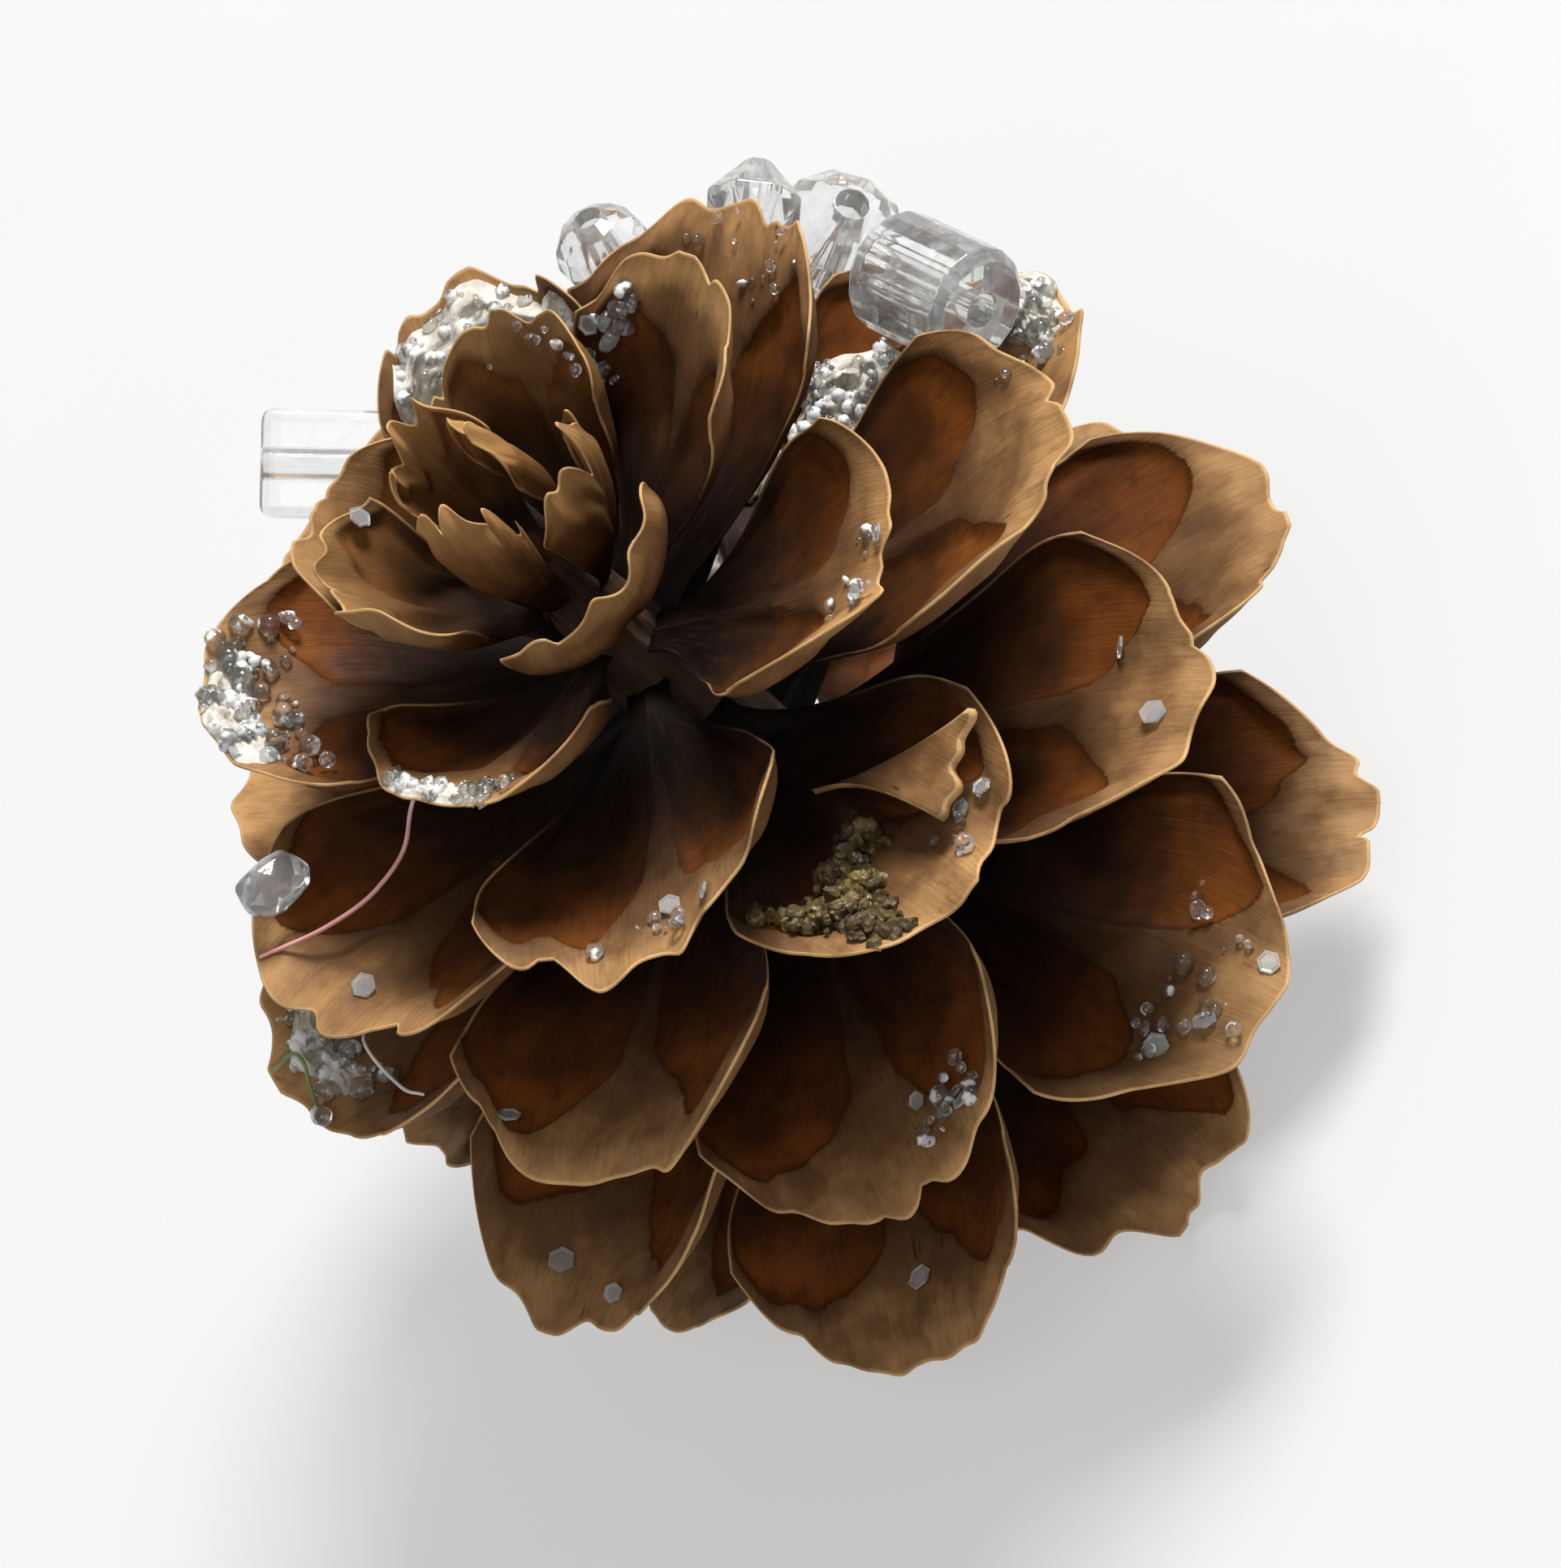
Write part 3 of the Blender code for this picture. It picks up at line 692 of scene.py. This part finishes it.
# Glitter flakes: scale, along, across.
FLAKES = (
    (8, 0.89, 0.88), (5, 0.42, -0.44), (3, 0.74, 0.52), (4, 0.93, -0.80), (12, 0.97, 0.44),
    (10, 0.93, 0.60), (10, 0.80, -0.18), (11, 0.97, 0.12), (14, 0.84, 0.12), (14, 0.95, 0.40),
    (27, 0.86, 0.42), (32, 0.90, -0.2), (19, 0.93, 0.55), (35, 0.82, 0.1), (22, 0.90, -0.62),
    (21, 0.90, 0.1), (26, 0.90, 0.3), (23, 0.86, -0.2), (31, 0.92, 0.3), (18, 0.90, -0.3),
    (28, 0.88, 0.2), (36, 0.9, -0.3), (20, 0.85, 0.5), (33, 0.9, 0.1), (27, 0.93, 0.52),
    (27, 0.80, 0.20), (32, 0.84, -0.42), (32, 0.96, 0.26), (24, 0.82, 0.35), (19, 0.88, 0.38),
    (24, 0.90, -0.10), (30, 0.86, -0.20), (30, 0.93, 0.30), (6, 0.80, 0.40), (11, 0.80, -0.52),
    (17, 0.86, 0.10),
)
FLAKE_RADIUS = 0.00046
FLAKE_THICKNESS = 0.00010
# The flake's section, from its foot round its raised edge: shares of its radius and thickness.
FLAKE_RINGS = ((1.0, -0.5), (1.0, 0.5), (0.86, 0.5), (0.70, 0.2), (0.70, -0.2), (0.86, -0.5))
FLAKE_FLOOR_RING = 3  # here the thin floor inside the raised edge begins


def build_flakes(material):
    """Six-sided glitter flakes with a raised edge, lying at odd angles on the scales."""
    chance = random.Random(SEED * 7)
    verts, faces = [], []
    for number, along, across in FLAKES:
        spot, off = sheet_spot(number, along, across, FLAKE_RADIUS * 0.5)
        tilt = Vector([chance.uniform(-0.5, 0.5) for _ in range(3)])
        turn = (off + tilt).to_track_quat("Z", "Y").to_matrix()
        size = FLAKE_RADIUS * chance.uniform(0.75, 1.15)
        first = len(verts)
        for radius, height in FLAKE_RINGS:
            for corner in range(6):
                angle = corner * math.pi / 3
                flat = Vector((math.cos(angle), math.sin(angle), 0)) * radius * size
                verts.append(spot + turn @ (flat + Vector((0, 0, height * FLAKE_THICKNESS))))
        for ring in range(len(FLAKE_RINGS)):
            for corner in range(6):
                low, high = ring * 6, (ring + 1) % len(FLAKE_RINGS) * 6
                after = (corner + 1) % 6
                if ring != FLAKE_FLOOR_RING:
                    corners = (low + corner, low + after, high + after, high + corner)
                    faces.append([first + i for i in corners])
        floor = first + FLAKE_FLOOR_RING * 6
        faces.append([floor + corner for corner in range(6)])
        faces.append([floor + 6 + corner for corner in range(5, -1, -1)])
    return finish_piece(new_object("glitter", verts, faces, material, False), "clear_glass")


FRAGMENT_SCALE = 19
FRAGMENT_THICKNESS = 0.00030
FRAGMENT_CELLS = 22
# Its narrow root and the two corners of its torn edge: along, across, height over the scale.
FRAGMENT_ROOT = np.array((0.42, -0.04, 0.0012))
FRAGMENT_CORNERS = (np.array((0.80, 0.95, 0.0020)), np.array((0.85, 0.26, 0.0016)))
FRAGMENT_ROOT_SHARE = 0.45
FRAGMENT_BOW = 0.0007


def build_fragment(material):
    """A torn flake of a scale that lies in the hollow of another: v runs from its root to its tear."""
    steps = np.linspace(0, 1, FRAGMENT_CELLS)
    u, v = np.meshgrid(steps, steps)
    u, v = u.ravel(), v.ravel()
    torn = 1 + 0.03 * np.sin(u * 9 + 1) + 0.02 * np.sin(u * 21)
    far = v * torn
    share = 0.5 + (u - 0.5) * mix(FRAGMENT_ROOT_SHARE, 1, v)
    edge = FRAGMENT_CORNERS[0] + (FRAGMENT_CORNERS[1] - FRAGMENT_CORNERS[0]) * share[:, None]
    along, across, lift = (FRAGMENT_ROOT + (edge - FRAGMENT_ROOT) * far[:, None]).T
    lift = lift + FRAGMENT_BOW * np.sin(far * math.pi) * (0.4 + u)
    scale = Scale(FRAGMENT_SCALE)
    top = scale.point(along, across, lift + FRAGMENT_THICKNESS)
    bottom = scale.point(along, across, lift)
    faces = [face[::-1] for face in two_sided_faces(FRAGMENT_CELLS)]
    count = FRAGMENT_CELLS**2
    piece = new_object("scale_fragment", np.vstack([top, bottom]), faces, material)
    both = np.tile(np.arange(count), 2)
    rim = np.minimum(np.minimum(u, 1 - u), 1 - v) * scale.half_width
    add_values(piece, "wing", np.full(2 * count, 1.5))
    add_values(piece, "edge", rim[both] / MM)
    add_values(piece, "along", (0.60 + 0.25 * v)[both])
    add_values(piece, "inner", np.arange(2 * count) < count)
    add_values(piece, "tone", np.full(2 * count, 0.6))
    add_values(piece, "young", np.zeros(2 * count))
    grain = [across * scale.half_width / MM, along * scale.length / MM, np.full(count, 3.0)]
    add_values(piece, "grain", np.stack(grain, axis=-1)[both])
    return finish_piece(piece, "scale_wood")


# Heaps of resin crumbs on one scale: along and across of the middle, their spreads, height, count.
RESIN_SCALE = 19
RESIN_SIZES = (0.00010, 0.00036)
RESIN_ROUGH = 0.26
RESIN_FARTHEST = 0.98
RESIN_HEAPS = (
    (0.80, -0.48, 0.050, 0.12, 0.0011, 240),
    (0.68, -0.30, 0.040, 0.07, 0.0010, 150),
    (0.60, -0.10, 0.030, 0.05, 0.0007, 90),
    (0.93, -0.44, 0.030, 0.08, 0.0006, 120),
)


def build_resin(material):
    """A crumbly lump of dried resin: many small crumbs heaped in the place of its plain solid."""
    chance = random.Random(SEED * 11)
    crumbs = Crumbs(SEED * 11, 2)
    for middle, sideways, spread, side_spread, tall, count in RESIN_HEAPS:
        for _ in range(count):
            along = chance.gauss(middle, spread)
            across = chance.gauss(sideways, side_spread)
            size = chance.uniform(*RESIN_SIZES)
            height = chance.uniform(0, tall) * math.exp(-((along - middle) / spread) ** 2 / 2)
            spot = sheet_spot(RESIN_SCALE, min(along, RESIN_FARTHEST), across, height)[0]
            crumbs.add(spot, size, RESIN_ROUGH, (1, 1, chance.uniform(0.6, 1.1)))
    return crumbs.build("resin_crumbs", material, "resin", "resin_lump", is_smooth=False)


class Shader:
    """A material and short names for the nodes that the materials here are made of."""

    def __init__(self, name):
        self.material = bpy.data.materials.new(name)
        self.material.use_nodes = True
        self.tree = self.material.node_tree
        self.surface = self.tree.nodes["Principled BSDF"]

    def node(self, kind, **settings):
        node = self.tree.nodes.new("ShaderNode" + kind)
        for key, value in settings.items():
            setattr(node, key, value)
        return node

    def join(self, node, socket, value):
        """Puts a value, or another node's output, into a socket."""
        if isinstance(value, bpy.types.NodeSocket):
            self.tree.links.new(value, node.inputs[socket])
        else:
            node.inputs[socket].default_value = value

    def value(self, name):
        return self.node("Attribute", attribute_name=name).outputs["Fac"]

    def vector(self, name):
        return self.node("Attribute", attribute_name=name).outputs["Vector"]

    def place(self):
        return self.node("TexCoord").outputs["Object"]

    def math(self, operation, a, b=0.0):
        node = self.node("Math", operation=operation)
        self.join(node, 0, a)
        self.join(node, 1, b)
        return node.outputs[0]

    def stretched(self, vector, scale):
        node = self.node("Mapping")
        self.join(node, "Vector", vector)
        self.join(node, "Scale", scale)
        return node.outputs[0]

    def noise(self, vector, scale, detail=3.0, rough=0.5, distortion=0.0):
        node = self.node("TexNoise")
        self.join(node, "Vector", vector)
        self.join(node, "Scale", scale)
        self.join(node, "Detail", detail)
        self.join(node, "Roughness", rough)
        self.join(node, "Distortion", distortion)
        return node.outputs["Fac"]

    def step(self, value, low, high, out_low=0.0, out_high=1.0):
        node = self.node("MapRange", interpolation_type="SMOOTHSTEP")
        for socket, number in zip(("Value", "From Min", "From Max", "To Min", "To Max"),
                                  (value, low, high, out_low, out_high)):
            self.join(node, socket, number)
        return node.outputs[0]

    def blend(self, share, a, b):
        node = self.node("Mix", data_type="RGBA")
        self.join(node, 0, share)
        self.join(node, 6, (*a, 1) if isinstance(a, tuple) else a)
        self.join(node, 7, (*b, 1) if isinstance(b, tuple) else b)
        return node.outputs[2]

    def ramp(self, value, *stops):
        node = self.node("ValToRGB")
        self.join(node, 0, value)
        band = node.color_ramp
        while len(band.elements) < len(stops):
            band.elements.new(0.5)
        for element, (place, colour) in zip(band.elements, stops):
            element.position = place
            element.color = (*colour, 1)
        return node.outputs[0]

    def bump(self, height, distance, strength=1.0):
        node = self.node("Bump")
        self.join(node, "Height", height)
        self.join(node, "Distance", distance)
        self.join(node, "Strength", strength)
        self.join(self.surface, "Normal", node.outputs[0])

    def set(self, **values):
        for socket, value in values.items():
            self.join(self.surface, socket.replace("_", " "), value)


def scale_wood():
    """Scale wood: tan, with two dark red-brown wing marks on the inner face and a pale gold rim,
    partly the thin edge's own colour and partly a painted highlight. Towards the claw it darkens to
    near black: dark pigment, and painted shade deep between the scales.
    """
    s = Shader("scale_wood")
    grain = s.vector("grain")
    along = s.value("along")
    fibre = s.noise(s.stretched(grain, (9.0, 0.45, 1.0)), 1.0, 4.0, 0.6)
    fine_fibre = s.noise(s.stretched(grain, (26.0, 1.1, 1.0)), 1.0, 2.0, 0.5)
    mottle = s.noise(s.stretched(grain, (1.6, 0.8, 1.0)), 1.0, 4.0, 0.65)
    blotch = s.noise(grain, 0.45, 3.0, 0.55)
    wobble = s.noise(s.stretched(grain, (0.8, 0.32, 1.0)), 1.0, 2.0, 0.5)
    nudge = s.math("MULTIPLY", s.math("SUBTRACT", wobble, 0.5), 0.9)
    nudge = s.math("ADD", nudge, s.math("MULTIPLY", s.math("SUBTRACT", fibre, 0.5), 0.25))
    wing = s.math("ADD", s.value("wing"), nudge)
    in_wing = s.step(wing, 0.06, -0.06)
    line = s.math("MULTIPLY", in_wing, s.step(wing, -0.42, -0.05))
    # Read along the scale from claw to rim, with blotches. The ramps below fall to near black towards
    # the claw: partly the wood's dark pigment, partly painted shade deep between the scales.
    pigment_and_painted_shade = s.math("ADD", along, s.math("MULTIPLY", s.math("SUBTRACT", blotch, 0.5), 0.45))
    wing_colour = s.ramp(
        pigment_and_painted_shade,
        (0.16, (0.005, 0.002, 0.001)),
        (0.40, (0.019, 0.007, 0.002)),
        (0.58, (0.070, 0.021, 0.004)),
        (0.74, (0.170, 0.050, 0.008)),
        (0.96, (0.195, 0.062, 0.011)),
    )
    wing_colour = s.blend(s.step(mottle, 0.52, 0.70, 0.0, 0.42), wing_colour, (0.035, 0.013, 0.004))
    wing_colour = s.blend(s.math("MULTIPLY", line, 0.62), wing_colour, (0.030, 0.012, 0.005))
    tan = s.ramp(
        pigment_and_painted_shade,
        (0.14, (0.005, 0.003, 0.002)),
        (0.38, (0.026, 0.012, 0.005)),
        (0.60, (0.070, 0.031, 0.012)),
        (0.80, (0.165, 0.080, 0.031)),
        (0.98, (0.400, 0.220, 0.088)),
    )
    streaks = s.noise(s.stretched(grain, (1.9, 0.42, 1.0)), 1.0, 2.0, 0.5)
    streak = s.math("MULTIPLY", s.step(streaks, 0.70, 0.76), 0.75)
    tan = s.blend(s.step(mottle, 0.50, 0.72, 0.0, 0.40), tan, (0.100, 0.042, 0.014))
    tan = s.blend(streak, tan, (0.030, 0.014, 0.007))
    inner = s.blend(in_wing, tan, wing_colour)
    # The outer face also darkens towards the claw: partly pigment, partly painted shade.
    back = s.ramp(
        pigment_and_painted_shade,
        (0.10, (0.014, 0.007, 0.003)),
        (0.45, (0.070, 0.030, 0.011)),
        (0.75, (0.140, 0.065, 0.024)),
        (0.98, (0.290, 0.155, 0.060)),
    )
    colour = s.blend(s.value("inner"), back, inner)
    young = s.ramp(
        pigment_and_painted_shade,
        (0.20, (0.034, 0.014, 0.005)),
        (0.50, (0.190, 0.083, 0.026)),
        (0.90, (0.500, 0.275, 0.098)),
    )
    colour = s.blend(s.math("MULTIPLY", s.value("young"), 0.58), colour, young)
    fine_shade = s.step(fine_fibre, 0.3, 0.7, -0.04, 0.04)
    shade = s.math("ADD", s.step(fibre, 0.25, 0.75, 0.84, 1.10), fine_shade)
    shade = s.math("MULTIPLY", shade, s.step(s.value("tone"), 0.0, 1.0, 0.94, 1.28))
    shaded = s.node("VectorMath", operation="SCALE")
    s.join(shaded, 0, colour)
    s.join(shaded, "Scale", shade)
    # A pale gold band along the rim, away from the claw: partly the thin edge's own colour, partly a
    # painted highlight, which noise dims in patches as uneven light would.
    edge = s.math("ADD", s.value("edge"), s.math("MULTIPLY", s.math("SUBTRACT", fibre, 0.5), 0.12))
    rim = s.math("MULTIPLY", s.step(edge, 0.11, 0.02), s.step(along, 0.25, 0.6))
    rim = s.math("MULTIPLY", rim, s.step(blotch, 0.35, 0.6, 0.35, 0.95))
    colour = s.blend(rim, shaded.outputs[0], (0.62, 0.38, 0.165))
    rough = s.step(mottle, 0.3, 0.7, 0.52, 0.68)
    s.set(Base_Color=colour, Roughness=rough, Specular_IOR_Level=0.14)
    height = s.math("ADD", fibre, s.math("MULTIPLY", fine_fibre, 0.5))
    s.bump(height, 0.00008, 0.35)
    return s.material


def axis_wood():
    """Stalk wood: dark and matt, fibrous along its height, with growth rings on the cut face."""
    s = Shader("axis_wood")
    place = s.place()
    parts = s.node("SeparateXYZ")
    s.join(parts, 0, place)
    fibre = s.noise(s.stretched(place, (2400.0, 2400.0, 240.0)), 1.0, 4.0, 0.6)
    flat = s.stretched(place, (1.0, 1.0, 0.0))
    length = s.node("VectorMath", operation="LENGTH")
    s.join(length, 0, flat)
    rings = s.math("SINE", s.math("MULTIPLY", length.outputs["Value"], 17000.0))
    side = s.ramp(fibre, (0.3, (0.020, 0.010, 0.005)), (0.7, (0.115, 0.060, 0.030)))
    cut = s.ramp(s.math("ADD", s.math("MULTIPLY", rings, 0.2), fibre),
                 (0.2, (0.10, 0.060, 0.030)), (0.8, (0.36, 0.24, 0.13)))
    on_cut = s.step(parts.outputs["Z"], 0.0003, 0.0001)
    s.set(Base_Color=s.blend(on_cut, side, cut), Roughness=s.step(fibre, 0.2, 0.8, 0.6, 0.85))
    s.bump(fibre, 0.0002, 0.8)
    return s.material


def clear_glass():
    """Bead glass: clear, polished, faintly grey, with fine wear."""
    s = Shader("clear_glass")
    wear = s.noise(s.place(), 900.0, 4.0, 0.6)
    tint = s.ramp(wear, (0.3, (0.93, 0.95, 0.95)), (0.7, (0.99, 0.995, 0.99)))
    s.set(Base_Color=tint, Roughness=s.step(wear, 0.45, 0.75, 0.015, 0.10))
    s.set(Transmission_Weight=s.step(wear, 0.45, 0.75, 0.90, 0.70), IOR=1.50)
    s.bump(wear, 0.00002, 0.5)
    return s.material


def grain_glass(name, milky_from):
    """Small crystals with a wet gloss, clear where the cloud is thin and milky from a level up."""
    s = Shader(name)
    full = milky_from + 0.07
    cloud = s.noise(s.place(), 900.0, 3.0, 0.6)
    tint = s.ramp(cloud, (0.3, (0.96, 0.98, 0.97)), (0.7, (1.0, 1.0, 1.0)))
    s.set(Base_Color=tint, Roughness=s.step(cloud, milky_from, full, 0.04, 0.40), Coat_Weight=0.35)
    s.set(Transmission_Weight=s.step(cloud, milky_from, full, 0.97, 0.20), IOR=1.42)
    s.bump(cloud, 0.00004, 0.6)
    return s.material


def milky_snow():
    """Snow gel: a milky, slightly see-through mass with a granular, moist face."""
    s = Shader("milky_snow")
    place = s.place()
    lumps = s.noise(place, 900.0, 5.0, 0.65)
    fine = s.noise(place, 4200.0, 3.0, 0.6)
    tint = s.ramp(
        lumps,
        (0.30, (0.44, 0.38, 0.29)),
        (0.50, (0.68, 0.64, 0.56)),
        (0.72, (0.86, 0.85, 0.81)),
    )
    s.set(Base_Color=tint, Roughness=s.step(fine, 0.3, 0.7, 0.45, 0.80))
    s.set(Transmission_Weight=s.step(lumps, 0.35, 0.65, 0.12, 0.0), IOR=1.40)
    s.set(Subsurface_Weight=0.35, Subsurface_Radius=(0.0012, 0.0011, 0.0009), Specular_IOR_Level=0.3)
    s.bump(s.math("ADD", lumps, s.math("MULTIPLY", fine, 0.4)), 0.00012, 0.7)
    return s.material


def fibre_material(name, colour):
    """A stray textile fibre: its colour varies a little along it."""
    s = Shader("fibre_" + name)
    change = s.noise(s.place(), 700.0, 3.0, 0.5)
    pale = tuple(min(part * 1.25 + 0.05, 1.0) for part in colour)
    s.set(Base_Color=s.ramp(change, (0.35, colour), (0.65, pale)), Sheen_Weight=0.3)
    s.set(Roughness=s.step(change, 0.3, 0.7, 0.45, 0.7))
    s.bump(change, 0.00002, 0.5)
    return s.material


def glitter_film():
    """Glitter: clear flakes with a thin film that flashes pale colours."""
    s = Shader("glitter_film")
    cloud = s.noise(s.place(), 1100.0, 2.0, 0.5)
    tint = s.ramp(
        cloud,
        (0.35, (0.88, 0.95, 0.97)),
        (0.50, (0.98, 0.97, 0.99)),
        (0.65, (0.96, 0.93, 0.90)),
    )
    s.set(Base_Color=tint, Roughness=s.step(cloud, 0.3, 0.7, 0.04, 0.14))
    s.set(Transmission_Weight=0.80, IOR=1.5, Coat_Weight=0.8, Thin_Film_Thickness=380.0)
    s.bump(cloud, 0.00001, 0.4)
    return s.material


def resin_material():
    """Dried resin: olive and dark brown crumbs, some with a waxy yellow face."""
    s = Shader("resin")
    place = s.place()
    cloud = s.noise(place, 700.0, 4.0, 0.6)
    fine = s.noise(place, 3200.0, 3.0, 0.6)
    tint = s.ramp(
        cloud,
        (0.34, (0.022, 0.012, 0.004)),
        (0.46, (0.070, 0.044, 0.012)),
        (0.58, (0.150, 0.105, 0.030)),
        (0.70, (0.330, 0.270, 0.100)),
    )
    s.set(Base_Color=tint, Roughness=s.step(fine, 0.3, 0.7, 0.30, 0.65), Subsurface_Weight=0.12)
    s.set(Subsurface_Radius=(0.0008, 0.0006, 0.0002))
    s.bump(fine, 0.00008, 0.8)
    return s.material


FLOOR_GLOW = 0.45


def plain_stage():
    """The pale studio floor: near white, with a barely seen mottle."""
    s = Shader("studio_floor")
    mottle = s.noise(s.place(), 40.0, 2.0, 0.5)
    tint = s.ramp(mottle, (0.3, (0.34, 0.34, 0.34)), (0.7, (0.35, 0.35, 0.35)))
    s.set(Base_Color=tint, Roughness=0.9, Specular_IOR_Level=0.1)
    s.set(Emission_Color=(1.0, 1.0, 1.0, 1.0), Emission_Strength=FLOOR_GLOW)
    return s.material


FLOOR_HALF = 3.0
FLOOR_BELOW = 0.00002


def build_floor():
    """A wide floor just under the cone's foot."""
    half = FLOOR_HALF
    verts = [(-half, -half, 0), (half, -half, 0), (half, half, 0), (-half, half, 0)]
    floor = new_object("studio_floor", verts, [(0, 1, 2, 3)], plain_stage(), is_smooth=False)
    floor.location.z = CAD_BOX[0].z - FLOOR_BELOW


def camera_axes():
    """The camera's right, up and backward directions."""
    right = Vector((1, 0, 0))
    up = Vector((0, math.sin(CAMERA_ELEVATION), math.cos(CAMERA_ELEVATION)))
    back = Vector((0, -math.cos(CAMERA_ELEVATION), math.sin(CAMERA_ELEVATION)))
    cos, sin = math.cos(CAMERA_ROLL), math.sin(CAMERA_ROLL)
    return right * cos - up * sin, right * sin + up * cos, back


def build_camera():
    """A camera far enough away to see the cone as the photographer's long lens did."""
    right, up, back = camera_axes()
    aim = Vector((0, 0, ARC_CENTRE_Z)) + right * AIM_RIGHT + up * AIM_UP
    data = bpy.data.cameras.new("camera")
    data.sensor_width = SENSOR
    data.lens = SENSOR * CAMERA_DISTANCE / VIEW_HEIGHT
    data.clip_start = 0.01
    camera = bpy.data.objects.new("camera", data)
    camera.matrix_world = Matrix((right, up, back)).transposed().to_4x4()
    camera.location = aim + back * CAMERA_DISTANCE
    bpy.context.scene.collection.objects.link(camera)
    bpy.context.scene.camera = camera


SOFTBOX_DISTANCE = 1.2
ROOM_LIGHT = 0.27


def add_softbox(name, direction, size, power):
    centre = (CAD_BOX[0] + CAD_BOX[1]) / 2
    data = bpy.data.lights.new(name, "AREA")
    data.shape = "DISK"
    data.size = size
    data.energy = power
    light = bpy.data.objects.new(name, data)
    light.location = centre + direction.normalized() * SOFTBOX_DISTANCE
    light.rotation_euler = direction.to_track_quat("Z", "Y").to_euler()
    bpy.context.scene.collection.objects.link(light)


def build_light():
    """A soft light from the top of the view, a weak broad one beside the camera, and a pale room."""
    right, up, back = camera_axes()
    add_softbox("key", back * 0.45 + up * 1.0 - right * 0.05, size=0.45, power=20.0)
    add_softbox("fill", back * 0.9 - right * 0.3, size=0.70, power=2.5)
    world = bpy.data.worlds.new("room")
    world.use_nodes = True
    backdrop = world.node_tree.nodes["Background"]
    backdrop.inputs["Color"].default_value = (1.0, 1.0, 1.0, 1)
    backdrop.inputs["Strength"].default_value = ROOM_LIGHT
    bpy.context.scene.world = world
    bpy.context.scene.view_settings.view_transform = "Standard"


def main():
    build_camera()
    build_light()
    build_floor()
    wood = scale_wood()
    glass = clear_glass()
    grain = grain_glass("grain_glass", 0.55)
    frosty = grain_glass("frosty_glass", 0.48)
    snow = milky_snow()
    for number in range(SCALES):
        build_scale(number, wood)
    build_axis(axis_wood())
    for node in sorted(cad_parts):
        if node.startswith("bead_"):
            build_bead(node, glass)
    for crust in CRUSTS + PATCHES:
        build_crust(*crust, snow, frosty)
    build_fragment(wood)
    for spots in GRAIN_SPOTS:
        build_grains(*spots, grain)
    for fibre in FIBRES:
        build_fibre(*fibre)
    build_flakes(glitter_film())
    build_resin(resin_material())


main()
